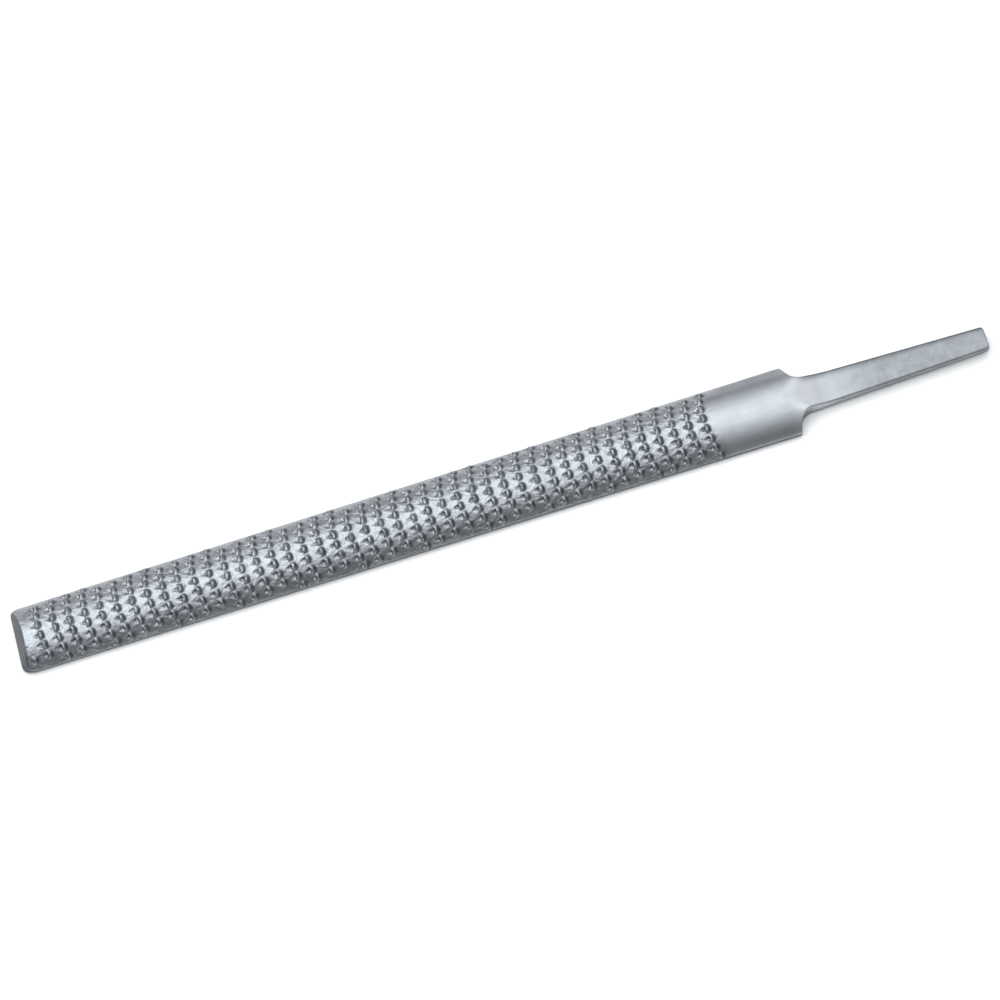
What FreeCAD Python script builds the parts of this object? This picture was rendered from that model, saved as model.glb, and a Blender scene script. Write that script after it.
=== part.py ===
# Half-round wood rasp, bare: one forging with a toothed blade, a smooth heel
# and a flat, tapered tang that a wooden handle is driven onto.
#
# Frame: +X runs from the blunt tip to the end of the tang, +Y across the blade,
# +Z up. The rasp lies on its flat side, round side up. The origin is the middle
# of the underside of the whole tool's box. Millimetres.
import FreeCAD, Part
import math
import os

V = FreeCAD.Vector

# ---- blade ----
BLADE_LENGTH = 200.0      # tip to shoulder
WIDTH_HEEL = 18.2         # across the flat side, at the shoulder
WIDTH_TIP = 16.7          # across the flat side, at the tip
THICK_HEEL = 5.6          # flat side to the crown of the round side, at the shoulder
LAND_HEEL = 1.0           # upright edge between flat side and round side, at the shoulder
TIP_LEAN = 20.0           # degrees, the tip's end face leans back towards the crown
TIP_UPRIGHT_X = 0.15      # the leaning face starts this far in, so a narrow upright land is left below it
TIP_SKEW = 5.0            # degrees, the tip was sheared slightly out of square
TIP_CORNER = 1.3          # radius of the far corner of the tip, in plan
TIP_CORNER_NEAR = 2.3     # and of the near one

# ---- shoulder and tang ----
TANG_LENGTH = 51.0
TANG_WIDTH_ROOT = 8.4
TANG_WIDTH_END = 6.1
TANG_TOP = 3.3            # height of the tang's flat top above the flat side
TANG_RISE_END = 0.9       # the underside has come up this much at the end
SHOULDER_STEP = 1.4       # nearly square part of the shoulder, each side
SHOULDER_RADIUS = 3.6     # concave corner between shoulder and tang
RAMP_LENGTH = 10.0        # the crown falls to the tang's top over this length
TANG_EDGE = 0.7           # rounding of the tang's two upper edges
TANG_CORNER = 0.8         # rounding of the corners of the tang's end, in plan

# ---- teeth ----
PITCH_X = 3.985           # from one row across the blade to the next
PITCH_Y = 2.60            # from tooth to tooth in a row
ROW_SHIFT = PITCH_Y / 4   # sideways shift from one row to the next
ROW_BOW = 0.018           # each row bends towards the heel by this times the square of the distance from the middle
FIRST_X = 2.1             # first row, from the tip; only its near end has room for teeth
ROWS = 45                 # the heel beyond the last row is smooth
TOOTH_HEIGHT = 0.70       # burr above the surface
TOOTH_WIDTH = 2.3         # burr at its foot, below the surface
TOOTH_FRONT = 1.05        # foot of the burr's steep face, ahead of the tooth's place
TOOTH_CREST = -0.20       # crest of the burr
TOOTH_BACK = 1.85         # foot of the slope behind it
PIT_START = 0.10          # steep end of the punched hollow in front of the burr
PIT_LENGTH = 1.90
PIT_WIDTH = 1.8
PIT_DEPTH = 0.50
EDGE_MARGIN = 0.85        # no tooth's place nearer to the side edge than this
EDGE_FADE = 2.6           # closer to the edge than this the teeth get lower
EDGE_HEIGHT = 0.35        # share of the full height left at the edge
TIP_MARGIN = 1.15         # no tooth's place nearer to the tip's end face than this

# ---- derived ----
TAPER = WIDTH_TIP / WIDTH_HEEL
THICK_TIP = THICK_HEEL * TAPER
LAND_TIP = LAND_HEEL * TAPER
SAG_HEEL = THICK_HEEL - LAND_HEEL
R_HEEL = (WIDTH_HEEL ** 2 / 4 + SAG_HEEL ** 2) / (2 * SAG_HEEL)
R_TIP = R_HEEL * TAPER
TOTAL = BLADE_LENGTH + TANG_LENGTH


def lin(a, b, x):
    return a + (b - a) * x / BLADE_LENGTH


def radius(x):
    return lin(R_TIP, R_HEEL, x)


def axis_z(x):
    return lin(THICK_TIP - R_TIP, THICK_HEEL - R_HEEL, x)


def half_width(x):
    return lin(WIDTH_TIP, WIDTH_HEEL, x) / 2


def face(points):
    return Part.Face(Part.makePolygon(points + [points[0]]))


def polyhedron(points, faces):
    shell = Part.Shell([face([points[i] for i in f]) for f in faces])
    solid = Part.Solid(shell)
    if solid.Volume < 0:
        solid.reverse()
    return solid


def outline(points, fillets):
    """Closed wire through points, with the corners in fillets rounded to their radius."""
    n = len(points)
    edges = []
    ends = []
    for i, p in enumerate(points):
        r = fillets.get(i)
        if not r:
            ends.append((p, p, None))
            continue
        a = points[i - 1] - p
        b = points[(i + 1) % n] - p
        half = a.getAngle(b) / 2
        d = r / math.tan(half)
        a.normalize()
        b.normalize()
        mid = a + b
        mid.normalize()
        centre = p + mid * (r / math.sin(half))
        ends.append((p + a * d, p + b * d, centre - mid * r))
    for i, (start, stop, via) in enumerate(ends):
        if via is not None:
            edges.append(Part.Arc(start, via, stop).toShape())
        nxt = ends[(i + 1) % n][0]
        if (nxt - stop).Length > 1e-6:
            edges.append(Part.LineSegment(stop, nxt).toShape())
    return Part.Wire(edges)


def tang_edges(solid, low, high):
    """The tang's edges between two heights, clear of the shoulder."""
    found = []
    for e in solid.Edges:
        b = e.BoundBox
        if b.XMin > BLADE_LENGTH + 4 and b.ZMin > low and b.ZMax < high and b.XLength + b.YLength > 1:
            found.append(e)
    return found


# ---- the forging ----
def forging():
    # round side: a cone whose sections stay similar from heel to tip
    x0, x1 = -12.0, BLADE_LENGTH + 14.0
    start = V(x0, 0, axis_z(x0))
    stop = V(x1, 0, axis_z(x1))
    crown = Part.makeCone(radius(x0), radius(x1), (stop - start).Length, start, stop - start)

    # plan of blade, shoulder and tang in one outline
    skew = math.tan(math.radians(TIP_SKEW))
    wt, wh = half_width(0), half_width(BLADE_LENGTH)
    tr, te = TANG_WIDTH_ROOT / 2, TANG_WIDTH_END / 2
    step = wh - SHOULDER_STEP
    near = [V(-wt * skew, -wt, 0), V(BLADE_LENGTH, -wh, 0), V(BLADE_LENGTH + 0.45, -step, 0),
            V(BLADE_LENGTH + 1.7, -tr - 0.15, 0), V(TOTAL, -te, 0)]
    far = [V(TOTAL, te, 0), V(BLADE_LENGTH + 1.7, tr + 0.15, 0), V(BLADE_LENGTH + 0.45, step, 0),
           V(BLADE_LENGTH, wh, 0), V(wt * skew, wt, 0)]
    fillets = {0: TIP_CORNER_NEAR, 1: 0.35, 3: SHOULDER_RADIUS, 4: TANG_CORNER,
               5: TANG_CORNER, 6: SHOULDER_RADIUS, 8: 0.35, 9: TIP_CORNER}
    plan = Part.Face(outline(near + far, fillets))
    body = plan.extrude(V(0, 0, THICK_HEEL + 2))

    blade_zone = Part.makeBox(BLADE_LENGTH + 14 + 12, 40, 20, V(-12, -20, -1))
    blade = body.common(blade_zone).common(crown)

    # top of ramp and tang, seen from the side
    xr = BLADE_LENGTH - 0.6
    top = [V(xr, -20, THICK_HEEL + 0.02), V(xr + RAMP_LENGTH, -20, TANG_TOP),
           V(TOTAL + 1, -20, TANG_TOP), V(TOTAL + 1, -20, 20), V(xr, -20, 20)]
    above = Part.Face(outline(top, {1: 22.0})).extrude(V(0, 40, 0))
    # underside of the tang
    below = Part.Face(Part.makePolygon([
        V(BLADE_LENGTH + 6, -20, 0), V(TOTAL + 1, -20, TANG_RISE_END * (TANG_LENGTH - 5) / (TANG_LENGTH - 6)),
        V(TOTAL + 1, -20, -5), V(BLADE_LENGTH + 6, -20, -5), V(BLADE_LENGTH + 6, -20, 0)])).extrude(V(0, 40, 0))

    tang = body.common(Part.makeBox(TANG_LENGTH + 3, 40, 20, V(BLADE_LENGTH - 2, -20, -1)))
    tang = tang.common(crown.fuse(Part.makeBox(80, 40, 20, V(BLADE_LENGTH + 10, -20, -1)))).removeSplitter()
    tang = tang.cut(above).cut(below)
    blade = blade.cut(above).cut(Part.makeBox(60, 40, 20, V(BLADE_LENGTH + 1, -20, -1)))
    tang = tang.cut(Part.makeBox(60, 40, 20, V(BLADE_LENGTH + 1 - 60, -20, -1)))
    solid = blade.fuse(tang).removeSplitter()

    # the tip's end face leans back towards the crown
    lean = math.tan(math.radians(TIP_LEAN))
    low, high = -2.0, 12.0

    def end(y, z):
        return V(TIP_UPRIGHT_X + y * skew + z * lean, y, z)

    cut = polyhedron(
        [V(-20, -15, low), end(-15, low), end(15, low), V(-20, 15, low),
         V(-20, -15, high), end(-15, high), end(15, high), V(-20, 15, high)],
        [(0, 1, 2, 3), (4, 7, 6, 5), (0, 4, 5, 1), (3, 2, 6, 7), (0, 3, 7, 4), (1, 5, 6, 2)])
    solid = solid.cut(cut)

    # the tang's edges are rounded along its whole length, the upper ones more
    solid = solid.makeFillet(TANG_EDGE, tang_edges(solid, TANG_TOP - 0.01, TANG_TOP + 0.01))
    return solid.makeFillet(TANG_EDGE / 2, tang_edges(solid, -0.01, TANG_RISE_END + 0.05))



# ---- teeth ----
def on_round(x, s):
    """A point of the round side at arc length s from the crown, and its normal and sideways direction."""
    r = radius(x)
    b = s / r
    return V(x, r * math.sin(b), axis_z(x) + r * math.cos(b)), V(0, math.sin(b), math.cos(b)), V(0, math.cos(b), -math.sin(b))


def on_flat(x, s):
    return V(x, s, 0), V(0, 0, -1), V(0, 1, 0)


def places(side):
    """Tooth places as (x, s, half width, height): rows lie across the blade, each a little further over than
    the last. A tooth beside the edge is lower, and narrower, so that it stays within the side land."""
    out = []
    sign, start = (1, PITCH_Y / 3) if side == "round" else (-1, PITCH_Y * 3 / 8)
    skew, lean = math.tan(math.radians(TIP_SKEW)), math.tan(math.radians(TIP_LEAN))
    for j in range(ROWS):
        for i in range(-60, 60):
            x = FIRST_X + j * PITCH_X
            s = sign * (j * ROW_SHIFT - i * PITCH_Y + start)
            arc = radius(x) * math.asin(half_width(x) / radius(x))
            limit = arc if side == "round" else half_width(x)
            if abs(s) > limit - EDGE_MARGIN:
                continue
            if j == 0 and s * sign > 0:
                continue
            x += ROW_BOW * (s * arc / limit) ** 2
            foot = on_round(x, s)[0] if side == "round" else on_flat(x, s)[0]
            if x < TIP_MARGIN + max(TIP_UPRIGHT_X + foot.y * skew + foot.z * lean, foot.y * skew):
                continue
            room = limit - abs(s)
            share = min(1.0, EDGE_HEIGHT + (1 - EDGE_HEIGHT) * room / EDGE_FADE)
            out.append((x, s, min(TOOTH_WIDTH / 2, room - 0.03), TOOTH_HEIGHT * share))
    return out


def tooth(p, n, b, w, height):
    """Burr and pit of one tooth. It cuts towards the tip, so its steep face looks down -X."""
    t = V(1, 0, 0)

    def at(along, side, up):
        return p + t * along + b * side + n * up

    low = -0.60
    burr = polyhedron(
        [at(-TOOTH_FRONT, -w, low), at(-TOOTH_FRONT, w, low), at(TOOTH_BACK, 0.5 * w, low), at(TOOTH_BACK, -0.5 * w, low),
         at(TOOTH_CREST, -0.3 * w, height), at(TOOTH_CREST, 0.3 * w, height)],
        [(0, 3, 2, 1), (0, 1, 5, 4), (2, 3, 4, 5), (0, 4, 3), (1, 2, 5)])
    up = 0.35
    k = (PIT_DEPTH + up) / PIT_DEPTH
    wp = min(PIT_WIDTH / 2, w)
    pit = polyhedron(
        [at(PIT_START, 0, -PIT_DEPTH), at(PIT_START, -wp * k, up), at(PIT_START, wp * k, up),
         at(PIT_START - PIT_LENGTH * k, 0, up)],
        [(0, 1, 2), (0, 2, 3), (0, 3, 1), (1, 3, 2)])
    return burr, pit


# ---- build ----
os.makedirs("parts", exist_ok=True)

blade = forging()
burrs, pits = [], []
for surface, side in ((on_round, "round"), (on_flat, "flat")):
    for x, s, w, height in places(side):
        burr, pit = tooth(*surface(x, s), w, height)
        burrs.append(burr)
        pits.append(pit)
blade = blade.cut(pits).fuse(burrs)
blade = blade.Solids[0] if len(blade.Solids) == 1 else blade

# stand the tool on the crests of its flat side, with the origin in the middle of its underside
box = blade.BoundBox
blade.translate(V(-(box.XMin + box.XMax) / 2, -(box.YMin + box.YMax) / 2, -box.ZMin))

blade.exportStep("parts/rasp_blade.step")
box = blade.BoundBox
print("teeth", len(burrs), "solids", len(blade.Solids), "valid", blade.isValid(), "faces", len(blade.Faces))
print("box", round(box.XLength, 3), round(box.YLength, 3), round(box.ZLength, 3), "volume", round(blade.Volume, 1))
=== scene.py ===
import math

import bpy
import numpy as np
from mathutils import Matrix, Vector


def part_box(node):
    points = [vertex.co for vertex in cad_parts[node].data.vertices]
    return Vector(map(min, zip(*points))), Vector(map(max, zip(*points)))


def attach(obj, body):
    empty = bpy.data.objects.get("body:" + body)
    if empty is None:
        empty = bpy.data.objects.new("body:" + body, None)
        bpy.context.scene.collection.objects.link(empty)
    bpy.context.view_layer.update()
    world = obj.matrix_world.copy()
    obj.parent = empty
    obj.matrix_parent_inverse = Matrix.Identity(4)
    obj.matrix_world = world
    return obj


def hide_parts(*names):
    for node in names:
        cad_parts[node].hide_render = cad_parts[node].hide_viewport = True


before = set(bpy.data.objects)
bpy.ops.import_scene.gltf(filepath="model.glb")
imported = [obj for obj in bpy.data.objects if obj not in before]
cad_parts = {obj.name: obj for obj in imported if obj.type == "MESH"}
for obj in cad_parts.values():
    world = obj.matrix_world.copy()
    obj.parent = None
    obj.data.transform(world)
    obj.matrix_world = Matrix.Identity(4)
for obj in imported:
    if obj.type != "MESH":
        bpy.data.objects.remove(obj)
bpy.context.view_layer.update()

MM = 0.001
NODE = "rasp_blade"

# ---------------------------------------------------------------- sizes, as in the CAD (millimetres)
BLADE_LENGTH = 200.0
WIDTH_HEEL = 18.2
WIDTH_TIP = 16.7
THICK_HEEL = 5.6
LAND_HEEL = 1.0
TIP_LEAN = 20.0
TIP_SKEW = 5.0
TIP_CORNER = 1.3
TIP_CORNER_NEAR = 2.3
TANG_LENGTH = 51.0
TANG_WIDTH_ROOT = 8.4
TANG_WIDTH_END = 6.1
TANG_TOP = 3.3
TANG_RISE_END = 0.9
SHOULDER_STEP = 1.4
SHOULDER_RADIUS = 3.6
RAMP_LENGTH = 10.0
TANG_EDGE = 0.7
TANG_CORNER = 0.8
PITCH_X = 3.985
PITCH_Y = 2.60
ROW_SHIFT = PITCH_Y / 4
ROW_BOW = 0.018
FIRST_X = 2.1
ROWS = 45
CAD_BURR = 0.70
EDGE_MARGIN = 0.85
EDGE_FADE = 2.6
EDGE_HEIGHT = 0.45
TIP_MARGIN = 1.15

TOTAL = BLADE_LENGTH + TANG_LENGTH
TAPER = WIDTH_TIP / WIDTH_HEEL
THICK_TIP = THICK_HEEL * TAPER
SAG_HEEL = THICK_HEEL - LAND_HEEL
R_HEEL = (WIDTH_HEEL ** 2 / 4 + SAG_HEEL ** 2) / (2 * SAG_HEEL)
R_TIP = R_HEEL * TAPER
BETA = math.asin(WIDTH_HEEL / 2 / R_HEEL)


def lin(a, b, x):
    return a + (b - a) * np.asarray(x, float) / BLADE_LENGTH


def radius(x):
    return lin(R_TIP, R_HEEL, x)


def axis_z(x):
    return lin(THICK_TIP - R_TIP, THICK_HEEL - R_HEEL, x)


def half_blade(x):
    return lin(WIDTH_TIP, WIDTH_HEEL, x) / 2


def smooth(x):
    x = np.clip(x, 0, 1)
    return x * x * (3 - 2 * x)


# ---------------------------------------------------------------- the forging's plan and side view
def shoulder_profile():
    """Half width against x from the shoulder to the end of the tang, as a list of (x, y), x increasing."""
    wh, tr, te = WIDTH_HEEL / 2, TANG_WIDTH_ROOT / 2, TANG_WIDTH_END / 2
    a = np.array([BLADE_LENGTH, wh])
    b = np.array([BLADE_LENGTH + 0.45, wh - SHOULDER_STEP])
    c = np.array([BLADE_LENGTH + 1.7, tr + 0.15])
    d = np.array([TOTAL, te])
    pts = []
    # a small rounding at the outer corner
    u = np.array([-1.0, 0.0])
    v = (b - a) / np.linalg.norm(b - a)
    for p in arc_corner(a, u, v, 0.35, 7):
        pts.append(p)
    u = (b - c) / np.linalg.norm(b - c)
    v = (d - c) / np.linalg.norm(d - c)
    pts.append(b)
    for p in arc_corner(c, u, v, SHOULDER_RADIUS, 13):
        pts.append(p)
    return np.array(pts)


def arc_corner(p, u, v, r, n):
    """Points of the arc of radius r that rounds the corner at p between the directions u and v."""
    half = math.acos(max(-1, min(1, float(np.dot(u, v))))) / 2
    d = r / math.tan(half)
    m = (u + v) / np.linalg.norm(u + v)
    centre = p + m * (r / math.sin(half))
    start, stop = p + u * d - centre, p + v * d - centre
    a0, a1 = math.atan2(start[1], start[0]), math.atan2(stop[1], stop[0])
    while a1 - a0 > math.pi:
        a1 -= 2 * math.pi
    while a1 - a0 < -math.pi:
        a1 += 2 * math.pi
    return [centre + r * np.array([math.cos(a), math.sin(a)]) for a in np.linspace(a0, a1, n)]


SHOULDER = shoulder_profile()


def top_of_ramp(x):
    """Height of the plane cut over the shoulder, and of the tang's flat top."""
    x0 = BLADE_LENGTH - 0.6
    x1 = x0 + RAMP_LENGTH
    slope = (TANG_TOP - THICK_HEEL) / RAMP_LENGTH
    line = THICK_HEEL + 0.02 + slope * (x - x0)
    r = 22.0
    t = r * math.tan(abs(math.atan(slope)) / 2)
    z = np.where(x < x1, line, TANG_TOP)
    inside = (x > x1 - t) & (x < x1 + t)
    cz = TANG_TOP + r
    z = np.where(inside, cz - np.sqrt(np.maximum(r * r - (np.minimum(x, x1 + t) - (x1 + t)) ** 2, 0)), z)
    return np.where(x < x0 - 3, 99.0, z)


def bottom_of_tang(x):
    x0 = BLADE_LENGTH + 6
    return np.where(x > x0, TANG_RISE_END * (x - x0) / (TANG_LENGTH - 6), 0.0)


# ---------------------------------------------------------------- stations along the tool
U = np.array([-2.00, -1.62, -1.26, -0.92, -0.62, -0.38, -0.16, 0.06, 0.32, 0.60, 0.88, 1.20])
tooth_x = FIRST_X + PITCH_X * np.arange(ROWS)
stations = [0.0, 0.05, 0.14, 0.28, 0.50]
for c in tooth_x:
    stations += [c + u for u in U if c + u > 0.7]
last = tooth_x[-1] + 1.6
stations += list(np.linspace(last + 0.4, BLADE_LENGTH - 3.8, 15))
stations += list(BLADE_LENGTH + np.array([-3.0, -2.4, -1.9, -1.5, -1.1, -0.8, -0.55]))
stations += [float(p[0]) for p in SHOULDER]
s_end = float(SHOULDER[-1][0])
stations += list(np.linspace(s_end + 0.5, BLADE_LENGTH + 14, 13)[:-1])
stations += list(np.linspace(BLADE_LENGTH + 14, TOTAL - TANG_CORNER - 0.3, 12))
stations += [TOTAL - TANG_CORNER * (1 - math.sin(a)) for a in np.linspace(0, math.pi / 2, 7)]
X = np.array(sorted(set(round(float(v), 4) for v in stations)))
NX = len(X)


def half_plan(x, tip_corner):
    """Half width of the outline in plan, on the side whose tip corner has this radius."""
    w = half_blade(np.minimum(x, BLADE_LENGTH))
    s = np.interp(x, SHOULDER[:, 0], SHOULDER[:, 1])
    te, tr = TANG_WIDTH_END / 2, SHOULDER[-1][1]
    tang = tr + (te - tr) * (x - s_end) / (TOTAL - s_end)
    w = np.where(x >= SHOULDER[0][0], s, w)
    w = np.where(x > s_end, tang, w)
    d = TOTAL - x
    w = w - np.where(d < TANG_CORNER, TANG_CORNER - np.sqrt(np.maximum(TANG_CORNER ** 2 - (TANG_CORNER - d) ** 2, 0)), 0)
    w = w - np.where(x < tip_corner, tip_corner - np.sqrt(np.maximum(tip_corner ** 2 - (tip_corner - x) ** 2, 0)), 0)
    return w * 0.9998


W = half_plan(X, TIP_CORNER)
W_NEAR = half_plan(X, TIP_CORNER_NEAR)

# ---------------------------------------------------------------- lines round the section
G_TOP = PITCH_Y / 12
G_FLAT = PITCH_Y / 8
N_TOP, E_TOP = 42, 4
N_FLAT, E_FLAT = 24, 3
N_LAND = 5


def side_lines(limit, g, n, extra):
    """Sideways position of each line at each station: fixed in the middle, stretched to the edge outside."""
    mid = g * np.arange(-n, n + 1)
    rows = np.repeat(mid[None, :], NX, 0)
    f = (np.arange(1, extra + 1) / extra)[None, :]
    room = (limit - g * n)[:, None]
    right = g * n + room * f
    return np.concatenate([-right[:, ::-1], rows, right], 1)


xb = np.minimum(X, BLADE_LENGTH)
arc = radius(xb) * BETA
S_TOP = side_lines(arc, G_TOP, N_TOP, E_TOP)          # arc length from the crown
S_FLAT = side_lines(half_blade(xb), G_FLAT, N_FLAT, E_FLAT)
T_TOP = S_TOP / arc[:, None]
T_FLAT = S_FLAT / half_blade(xb)[:, None]

def wide(t):
    return np.where(t < 0, W_NEAR[:, None], W[:, None])


Y_TOP = wide(T_TOP) * np.sin(BETA * T_TOP) / math.sin(BETA)
Y_FLAT = wide(T_FLAT) * T_FLAT

# the stations follow the bow of the rows of teeth, and near the tip they close up against its end face, which
# leans back and is slightly out of square
follow = smooth((X - 0.2) / 3.0) * (1 - smooth((X - last - 0.5) / 12.0))
squeeze = np.clip(1 - X / 6.0, 0, 1)
SKEW, LEAN = math.tan(math.radians(TIP_SKEW)), math.tan(math.radians(TIP_LEAN))


def end_face(y, z):
    return np.maximum(0.15 + y * SKEW + z * LEAN, y * SKEW)


def bent(y, z, across):
    return X[:, None] + (follow * ROW_BOW)[:, None] * across ** 2 + squeeze[:, None] * end_face(y, z)


XG_TOP = bent(Y_TOP, axis_z(X[:, None]) + np.sqrt(np.maximum(radius(X[:, None]) ** 2 - Y_TOP ** 2, 0)), S_TOP)
XG_FLAT = bent(Y_FLAT, 0 * Y_FLAT, T_FLAT * arc[:, None])


def crown_z(x, y):
    r = radius(x)
    return axis_z(x) + np.sqrt(np.maximum(r * r - y * y, 0))


def edge_drop(d, r):
    """How far a corner of radius r has come down at the distance d from the edge."""
    d = np.clip(d, 0, r)
    return r - np.sqrt(np.maximum(r * r - (r - d) ** 2, 0))


def smooth_min(a, b, k):
    h = np.clip(0.5 + 0.5 * (b - a) / k, 0, 1)
    return b * (1 - h) + a * h - k * h * (1 - h)


Z_TOP = smooth_min(crown_z(XG_TOP, Y_TOP), top_of_ramp(XG_TOP), 0.45)
edge_r = 0.14 + (TANG_EDGE - 0.14) * smooth((X - BLADE_LENGTH + 1) / 7)
edge_r = np.minimum(edge_r, 0.9 * W)
Z_TOP = Z_TOP - edge_drop(wide(T_TOP) - np.abs(Y_TOP), edge_r[:, None])
Z_FLAT = np.repeat(bottom_of_tang(X)[:, None], Y_FLAT.shape[1], 1)
low_r = 0.12 + (TANG_EDGE / 2 - 0.12) * smooth((X - BLADE_LENGTH - 4) / 6)
Z_FLAT = Z_FLAT + edge_drop(wide(T_FLAT) - np.abs(Y_FLAT), low_r[:, None])


# ---------------------------------------------------------------- teeth
def tooth_places(side, rng):
    out = []
    sign, start = (1, PITCH_Y / 3) if side == "round" else (-1, PITCH_Y * 3 / 8)
    for j in range(ROWS):
        for i in range(-60, 60):
            x = FIRST_X + j * PITCH_X
            s = sign * (j * ROW_SHIFT - i * PITCH_Y + start)
            reach = float(radius(x) * BETA)
            limit = reach if side == "round" else float(half_blade(x))
            if abs(s) > limit - EDGE_MARGIN:
                continue
            if j == 0 and s * sign > 0:
                continue
            x += ROW_BOW * (s * reach / limit) ** 2
            if side == "round":
                y, z = float(radius(x)) * math.sin(s / float(radius(x))), float(axis_z(x)) + float(radius(x)) * math.cos(s / float(radius(x)))
            else:
                y, z = s, 0.0
            if x < TIP_MARGIN + float(end_face(y, z)):
                continue
            out.append((x, s, min(1.0, EDGE_HEIGHT + (1 - EDGE_HEIGHT) * (limit - abs(s)) / EDGE_FADE)))
    out = np.array(out)
    n = len(out)
    look = {
        "x": out[:, 0] + rng.normal(0, 0.06, n).clip(-0.12, 0.12),
        "s": out[:, 1] + rng.normal(0, 0.06, n).clip(-0.12, 0.12),
        "h": out[:, 2] * (1.0 + rng.normal(0, 0.08, n).clip(-0.18, 0.08)),
        "w": 1.0 + rng.normal(0, 0.06, n).clip(-0.12, 0.10),
        "turn": rng.normal(0, 0.09, n).clip(-0.18, 0.18),
        "d": 1.0 + rng.normal(0, 0.12, n).clip(-0.25, 0.2),
    }
    return look


BURR_H = 0.64
BURR_W = 1.20
BURR_BACK = 1.14
CREST = -0.10
PIT_D = 0.64
PIT_L = 1.95
PIT_W = 1.10


def relief(xg, sg, teeth):
    """Height over the plain forging, lean towards the tip, and how much painted shade the place gets, from all the
    teeth.
    """
    high = np.zeros_like(xg)
    lean = np.zeros_like(xg)
    painted_shade = np.zeros_like(xg)
    x_lo = xg.min(1)
    x_hi = xg.max(1)
    for k in range(len(teeth["x"])):
        x0, s0 = teeth["x"][k], teeth["s"][k]
        i0 = np.searchsorted(x_hi, x0 - 2.6)
        i1 = np.searchsorted(x_lo, x0 + 1.8)
        if i1 <= i0:
            continue
        rows = slice(i0, i1)
        j = np.where(np.abs(sg[(i0 + i1) // 2] - s0) < 1.8)[0]
        if len(j) == 0:
            continue
        cols = slice(j[0], j[-1] + 1)
        a = xg[rows, cols] - x0
        b = sg[rows, cols] - s0
        t = teeth["turn"][k]
        u = a * math.cos(t) + b * math.sin(t)
        w = -a * math.sin(t) + b * math.cos(t)
        wk = teeth["w"][k]
        # pit: a three-sided hollow, pointed towards the tip and deepest under the burr
        f = np.clip(1 + u / PIT_L, 0, 1)
        half = PIT_W * wk * np.power(f, 0.75) + 1e-6
        across = np.clip(1 - np.abs(w) / half, 0, 1)
        depth = teeth["d"][k] * np.power(f, 0.8) * (1.12 * across - 0.12 * across ** 3)
        inside = 1 - smooth((u - CREST + 0.34) / 0.30)
        pit = PIT_D * depth * inside * (u > -PIT_L)
        # burr: steel thrown up round the wide end of the pit, steep towards the tip, rounded off behind
        crest = CREST - 0.42 * (w / BURR_W) ** 2
        d = u - crest
        front = smooth((d + 0.32) / 0.34)
        back = np.clip(1 - np.power(np.clip(d, 0, None) / BURR_BACK, 1.5), 0, 1)
        side = np.power(np.clip(1 - (np.abs(w) / (BURR_W * wk)) ** 2.4, 0, 1), 0.9)
        lump = BURR_H * teeth["h"][k] * front * back * side
        high[rows, cols] = np.where(lump > 0, np.maximum(high[rows, cols], 0) + lump, high[rows, cols] - pit)
        lean[rows, cols] += np.where(lump > 0, -0.12 * (lump / BURR_H) ** 1.4, 0)
        # painted shade, where shade falls: the back of the burr down to its foot, its two sides, and a little in the
        # pit
        fall = smooth((d - 0.22) / 0.45) * (1 - smooth((d - BURR_BACK + 0.02) / 0.22)) * (side > 0) * np.power(side, 0.25)
        sides = np.exp(-((np.abs(w) - BURR_W * wk * 0.97) / 0.20) ** 2) * np.clip(1 - np.abs(u - 0.1) / 0.8, 0, 1)
        # the painted shade is made stronger on teeth towards both edges of the round side
        beside = 1 + 0.35 * smooth((abs(s0) - 3.0) / 4.0)
        dark = np.maximum(0.28 * depth * inside * (u > -PIT_L), np.maximum(0.78 * fall, 0.55 * sides))
        dark = np.clip(dark * beside, 0, 1)
        painted_shade[rows, cols] = np.maximum(painted_shade[rows, cols], dark)
    return high, lean, painted_shade


rng = np.random.default_rng(7)
round_teeth = tooth_places("round", rng)
flat_teeth = tooth_places("flat", rng)
H_TOP, L_TOP, D_TOP = relief(XG_TOP, S_TOP, round_teeth)
H_FLAT, L_FLAT, D_FLAT = relief(XG_FLAT, S_FLAT, flat_teeth)

# keep the two outermost lines on the plain surface, so that the lands stay straight
guard_top = smooth((arc[:, None] - np.abs(S_TOP)) / 0.35)
guard_flat = smooth((half_blade(xb)[:, None] - np.abs(S_FLAT)) / 0.35)
H_TOP, L_TOP = H_TOP * guard_top, L_TOP * guard_top
H_FLAT, L_FLAT = H_FLAT * guard_flat, L_FLAT * guard_flat

beta = np.arcsin(np.clip(Y_TOP / radius(XG_TOP), -1, 1))
top = np.stack([XG_TOP + L_TOP, Y_TOP + H_TOP * np.sin(beta), Z_TOP + H_TOP * np.cos(beta)], -1)
flat = np.stack([XG_FLAT + L_FLAT, Y_FLAT, Z_FLAT - H_FLAT], -1)

# ---------------------------------------------------------------- side lands, between the two grids
# top runs from -Y to +Y, then the +Y land goes down, the flat side runs back to -Y, and the -Y land goes up
frac = (np.arange(1, N_LAND) / N_LAND)[None, :, None]
far_land = top[:, -1:, :] * (1 - frac) + flat[:, -1:, :] * frac
near_land = flat[:, :1, :] * (1 - frac) + top[:, :1, :] * frac
ring = np.concatenate([top, far_land, flat[:, ::-1, :], near_land], 1)
NR = ring.shape[1]
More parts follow.
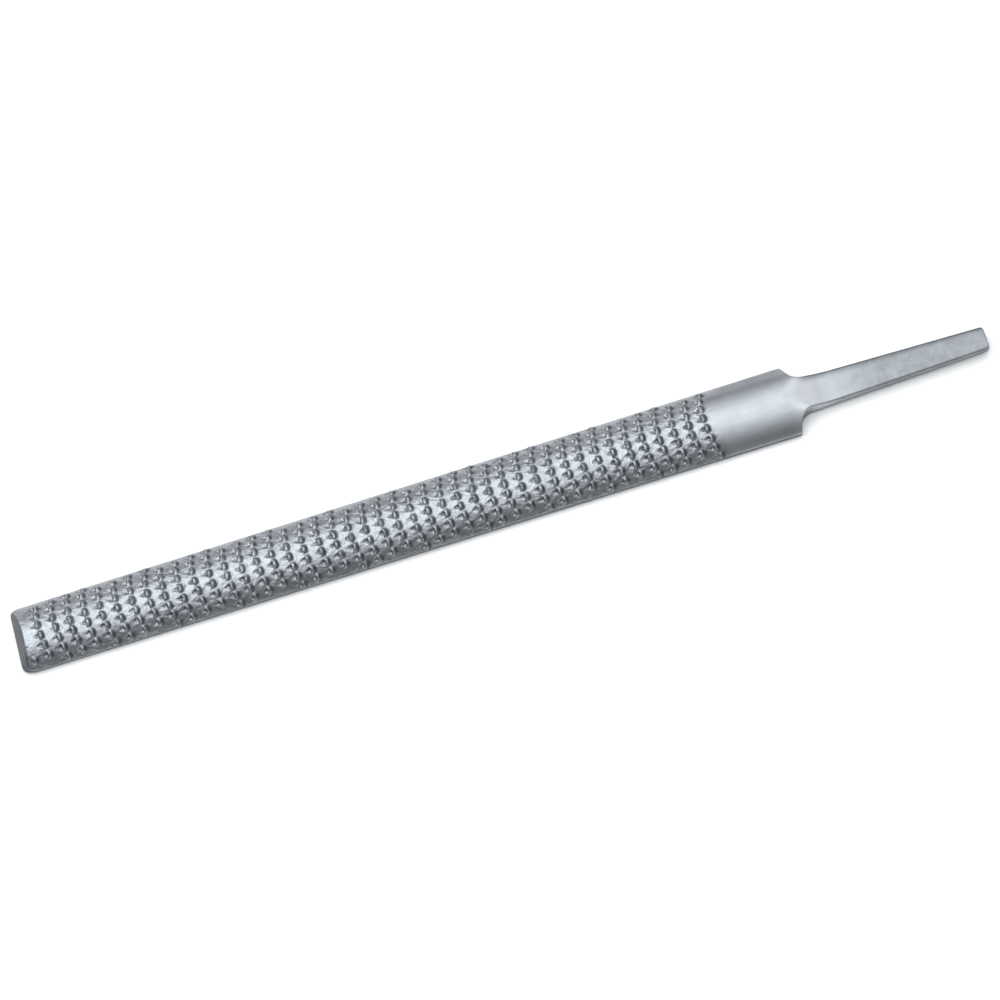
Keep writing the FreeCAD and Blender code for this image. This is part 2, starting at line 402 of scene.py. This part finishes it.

# painted shade in the base colour: the shaded places of the teeth, the side lands, the edges and the end face at the
# tip
on_tang = smooth((X[:, None] - BLADE_LENGTH - 1.0) / 5.0)
# painted shade on the side lands: dark all over on the blade, on the tang only towards the bottom
down = (np.arange(1, N_LAND) / N_LAND)[None, :]
side_dark = 1 - on_tang * (1 - np.clip((down - 0.55) / 0.45, 0, 1))
shade = np.concatenate([D_TOP, side_dark, D_FLAT[:, ::-1], side_dark[:, ::-1]], 1)
# painted shade along the far edge of the round side, from the last teeth to the heel
far = 0.34 * smooth((T_TOP - 0.62) / 0.30) * smooth((X[:, None] - last) / 6.0) * (1 - smooth((X[:, None] - BLADE_LENGTH) / 3.0))
shade[:, :D_TOP.shape[1]] = np.maximum(shade[:, :D_TOP.shape[1]], far)
# painted shade on the near half of the round side, close to the tip's end
tip = 0.75 * (1 - smooth((X[:, None] - 0.25) / 0.8)) * smooth((-T_TOP - 0.05) / 0.5)
shade[:, :D_TOP.shape[1]] = np.maximum(shade[:, :D_TOP.shape[1]], tip)
# painted shade over the near rows of teeth
near = 0.30 * smooth((-T_TOP - 0.30) / 0.45) * (1 - smooth((X[:, None] - last) / 1.5))
shade[:, :D_TOP.shape[1]] = 1 - (1 - shade[:, :D_TOP.shape[1]]) * (1 - near)
# painted shade as dark lines along the four long edges; the two on the round side stop short of the tang
edge = np.zeros(NR)
n_top, n_flat = top.shape[1], flat.shape[1]
edge[[0, n_top - 1]] = 0.85
shade = np.maximum(shade, edge[None, :] * (1 - on_tang))
edge[:] = 0
edge[[n_top + N_LAND - 1, n_top + N_LAND + n_flat - 2]] = 0.85
shade = np.maximum(shade, edge[None, :])
# painted shade along the tang's far upper edge, in place of a rounded edge
tang_edge_shade = 0.72 * smooth((T_TOP - 0.35) / 0.6) * on_tang
shade[:, :n_top] = np.maximum(shade[:, :n_top], tang_edge_shade)
# the end face at the tip gets the full painted shade
shade[0] = 1.0

# small rounding of the end faces' edges
def shrink(row, by):
    mid = row.mean(0)
    out = row - mid
    out[:, 1] *= 1 - by / max(abs(out[:, 1]).max(), 1e-6)
    out[:, 2] *= 1 - by / max(abs(out[:, 2]).max(), 1e-6)
    return out + mid


for k, by in ((0, 0.16), (1, 0.06)):
    ring[k] = shrink(ring[k], by)
for k, by in ((NX - 1, 0.20), (NX - 2, 0.12), (NX - 3, 0.05)):
    ring[k] = shrink(ring[k], by)

# into the row's frame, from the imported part's own box
low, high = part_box(NODE)
shift = np.array([high.x / MM - TOTAL, (low.y + high.y) / 2 / MM, low.z / MM + CAD_BURR])
verts = (ring.reshape(-1, 3) + shift) * MM

ii, jj = np.meshgrid(np.arange(NX - 1), np.arange(NR), indexing="ij")
j2 = (jj + 1) % NR
quads = np.stack([ii * NR + jj, (ii + 1) * NR + jj, (ii + 1) * NR + j2, ii * NR + j2], -1).reshape(-1, 4)
faces = quads.tolist()
faces.append([k for k in range(NR)])
faces.append([(NX - 1) * NR + k for k in range(NR - 1, -1, -1)])

mesh = bpy.data.meshes.new("rasp_steel_mesh")
mesh.from_pydata([tuple(v) for v in verts], [], faces)
mesh.validate()
mesh.update()
for p in mesh.polygons:
    p.use_smooth = True
mesh.set_sharp_from_angle(angle=math.radians(62))
rasp = bpy.data.objects.new("rasp_forging", mesh)
bpy.context.scene.collection.objects.link(rasp)


# ---------------------------------------------------------------- steel
TANG_FROM = float(BLADE_LENGTH + 5.0 + shift[0]) * MM
TEETH_TO = float(last + 1.5 + shift[0]) * MM


def steel():
    mat = bpy.data.materials.new("satin_steel")
    mat.use_nodes = True
    nt = mat.node_tree
    n, link = nt.nodes, nt.links
    bsdf = n["Principled BSDF"]
    bsdf.inputs["Metallic"].default_value = 1.0
    coord = n.new("ShaderNodeTexCoord")

    def noise(scale, detail, rough, stretch=None):
        t = n.new("ShaderNodeTexNoise")
        t.inputs["Scale"].default_value = scale
        t.inputs["Detail"].default_value = detail
        t.inputs["Roughness"].default_value = rough
        if stretch:
            m = n.new("ShaderNodeMapping")
            m.inputs["Scale"].default_value = stretch
            link.new(coord.outputs["Object"], m.inputs["Vector"])
            link.new(m.outputs["Vector"], t.inputs["Vector"])
        else:
            link.new(coord.outputs["Object"], t.inputs["Vector"])
        return t

    def ramp(src, stops):
        r = n.new("ShaderNodeValToRGB")
        r.color_ramp.elements[0].position, r.color_ramp.elements[0].color = stops[0]
        r.color_ramp.elements[1].position, r.color_ramp.elements[1].color = stops[-1]
        for pos, col in stops[1:-1]:
            e = r.color_ramp.elements.new(pos)
            e.color = col
        link.new(src, r.inputs["Fac"])
        return r

    def maths(op, a, b, clamp=False):
        m = n.new("ShaderNodeMath")
        m.operation = op
        m.use_clamp = clamp
        for k, v in enumerate((a, b)):
            if isinstance(v, bpy.types.NodeSocket):
                link.new(v, m.inputs[k])
            else:
                m.inputs[k].default_value = v
        return m.outputs[0]

    def blend(fac, a, b, mode="MIX"):
        m = n.new("ShaderNodeMix")
        m.data_type = "RGBA"
        m.blend_type = mode
        for key, v in ((0, fac), (6, a), (7, b)):
            if isinstance(v, bpy.types.NodeSocket):
                link.new(v, m.inputs[key])
            else:
                m.inputs[key].default_value = v
        return m.outputs[2]

    cloud = noise(260.0, 5.0, 0.6)
    streak = noise(1500.0, 3.0, 0.55, (0.10, 1.0, 1.0))
    grain = noise(4200.0, 3.0, 0.65)
    base = ramp(cloud.outputs["Fac"], [(0.28, (0.318, 0.336, 0.360, 1)), (0.72, (0.372, 0.390, 0.412, 1))])
    line = ramp(streak.outputs["Fac"], [(0.30, (0.92, 0.92, 0.92, 1)), (0.70, (1.0, 1.0, 1.0, 1))])
    col = blend(1.0, base.outputs["Color"], line.outputs["Color"], "MULTIPLY")
    # the tang is left dull from the forge
    place = n.new("ShaderNodeSeparateXYZ")
    link.new(coord.outputs["Object"], place.inputs[0])
    along = maths("MULTIPLY", maths("SUBTRACT", place.outputs[0], TANG_FROM), 1 / 0.018, True)
    mottle = ramp(noise(420.0, 5.0, 0.65).outputs["Fac"], [(0.32, (0.198, 0.210, 0.224, 1)), (0.68, (0.282, 0.297, 0.314, 1))])
    col = blend(maths("MULTIPLY", along, 0.92), col, mottle.outputs["Color"])
    keen = maths("MULTIPLY", maths("SUBTRACT", TEETH_TO, place.outputs[0]), 1 / 0.002, True)
    # painted light: the ramp between the heel and the tang is blended towards a bright steel colour to lift the
    # shade that falls there
    up = maths("MULTIPLY", maths("SUBTRACT", place.outputs[0], TANG_FROM - 0.0065), 1 / 0.003, True)
    down = maths("MULTIPLY", maths("SUBTRACT", TANG_FROM + 0.007, place.outputs[0]), 1 / 0.006, True)
    col = blend(maths("MULTIPLY", maths("MULTIPLY", up, down), 0.45), col, (0.56, 0.58, 0.605, 1))
    # painted shade: the shade map blends the base colour towards near black
    shade_map = n.new("ShaderNodeAttribute")
    shade_map.attribute_name = "painted_shade_map"
    dark = maths("MULTIPLY", shade_map.outputs["Fac"], 0.92, True)
    col = blend(dark, col, (0.060, 0.066, 0.075, 1))
    link.new(col, bsdf.inputs["Base Color"])
    rough = ramp(grain.outputs["Fac"], [(0.30, (0.30, 0.30, 0.30, 1)), (0.72, (0.44, 0.44, 0.44, 1))])
    dull = maths("ADD", rough.outputs["Color"], maths("MULTIPLY", maths("MAXIMUM", dark, along), 0.14), True)
    link.new(maths("SUBTRACT", dull, maths("MULTIPLY", keen, 0.08), True), bsdf.inputs["Roughness"])
    uneven = noise(850.0, 3.0, 0.55)
    dent = n.new("ShaderNodeBump")
    link.new(maths("MULTIPLY", maths("MULTIPLY", maths("SUBTRACT", TEETH_TO, place.outputs[0]), 1 / 0.002, True), 0.75), dent.inputs["Strength"])
    dent.inputs["Distance"].default_value = 0.00042
    link.new(uneven.outputs["Fac"], dent.inputs["Height"])
    bump = n.new("ShaderNodeBump")
    link.new(dent.outputs["Normal"], bump.inputs["Normal"])
    bump.inputs["Strength"].default_value = 0.30
    bump.inputs["Distance"].default_value = 0.00004
    link.new(grain.outputs["Fac"], bump.inputs["Height"])
    link.new(bump.outputs["Normal"], bsdf.inputs["Normal"])
    return mat


# the painted shade map is stored on the mesh as a point attribute
shade_map = mesh.attributes.new("painted_shade_map", "FLOAT", "POINT")
shade_map.data.foreach_set("value", shade.reshape(-1).astype(np.float32))
mesh.materials.append(steel())
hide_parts(NODE)
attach(rasp, "root")

# ---------------------------------------------------------------- floor, light and camera
fm = bpy.data.materials.new("pale_floor")
fm.use_nodes = True
fb = fm.node_tree.nodes["Principled BSDF"]
fb.inputs["Base Color"].default_value = (0.94, 0.94, 0.94, 1)
fb.inputs["Roughness"].default_value = 0.9
fb.inputs["Specular IOR Level"].default_value = 0.1
fmesh = bpy.data.meshes.new("floor_mesh")
fz = 0.0
fmesh.from_pydata([(-12, -12, fz), (12, -12, fz), (12, 12, fz), (-12, 12, fz)], [], [(0, 1, 2, 3)])
floor = bpy.data.objects.new("floor", fmesh)
fmesh.materials.append(fm)
bpy.context.scene.collection.objects.link(floor)

# a soft studio dome: brightest overhead and a little beyond the tool, falling off towards the horizon
world = bpy.data.worlds.new("studio")
bpy.context.scene.world = world
world.use_nodes = True
wt = world.node_tree
bg = wt.nodes["Background"]
DOME_TILT, DOME_LEAN = 13.0, 8.0        # degrees from upright: away from the camera, and towards the tip
DOME_LOW, DOME_GAIN, DOME_POWER = 0.26, 2.72, 2.7
to_dome = Vector((-math.sin(math.radians(DOME_LEAN)), math.sin(math.radians(DOME_TILT)), 1.0)).normalized()
wc = wt.nodes.new("ShaderNodeTexCoord")
wd = wt.nodes.new("ShaderNodeVectorMath")
wd.operation = "DOT_PRODUCT"
wd.inputs[1].default_value = to_dome
wt.links.new(wc.outputs["Generated"], wd.inputs[0])


def world_math(op, a, b):
    m = wt.nodes.new("ShaderNodeMath")
    m.operation = op
    for k, v in enumerate((a, b)):
        if hasattr(v, "name"):
            wt.links.new(v, m.inputs[k])
        else:
            m.inputs[k].default_value = v
    return m.outputs[0]


facing = world_math("MAXIMUM", wd.outputs["Value"], 0.0)
dome = world_math("ADD", world_math("MULTIPLY", world_math("POWER", facing, DOME_POWER), DOME_GAIN), DOME_LOW)
path = wt.nodes.new("ShaderNodeLightPath")
seen = world_math("MULTIPLY", path.outputs["Is Camera Ray"], 1.0)
unseen = world_math("SUBTRACT", 1.0, seen)
strength = world_math("ADD", world_math("MULTIPLY", dome, unseen), world_math("MULTIPLY", seen, 0.95))
wt.links.new(strength, bg.inputs["Strength"])
bg.inputs["Color"].default_value = (0.965, 0.985, 1.0, 1)

# camera: the near long side, well above it, the tang end turned away
ELEVATION, TURN, DISTANCE = 71.1, 18.3, 2.2
el, tu = math.radians(ELEVATION), math.radians(TURN)
view = Vector((-math.sin(tu) * math.cos(el), -math.cos(tu) * math.cos(el), math.sin(el)))
cam_data = bpy.data.cameras.new("camera")
cam = bpy.data.objects.new("camera", cam_data)
bpy.context.scene.collection.objects.link(cam)
right = Vector((math.cos(tu), -math.sin(tu), 0.0))
above = view.cross(right)
aim = Vector((0.0, 0.0, 0.003)) - right * 0.00063 - above * 0.00259
cam.location = aim + view * DISTANCE
cam.rotation_euler = (-view).to_track_quat("-Z", "Y").to_euler()
cam_data.sensor_width = 36.0
cam_data.lens = 36.0 * DISTANCE * 4.072
cam_data.clip_end = 60.0
cam_data.clip_start = 0.05
bpy.context.scene.camera = cam
bpy.context.scene.view_settings.view_transform = "Standard"

print("stations", NX, "ring", NR, "faces", len(mesh.polygons), "teeth", len(round_teeth["x"]), len(flat_teeth["x"]),
      "triangles", 2 * (NX - 1) * NR + 2 * (NR - 2))
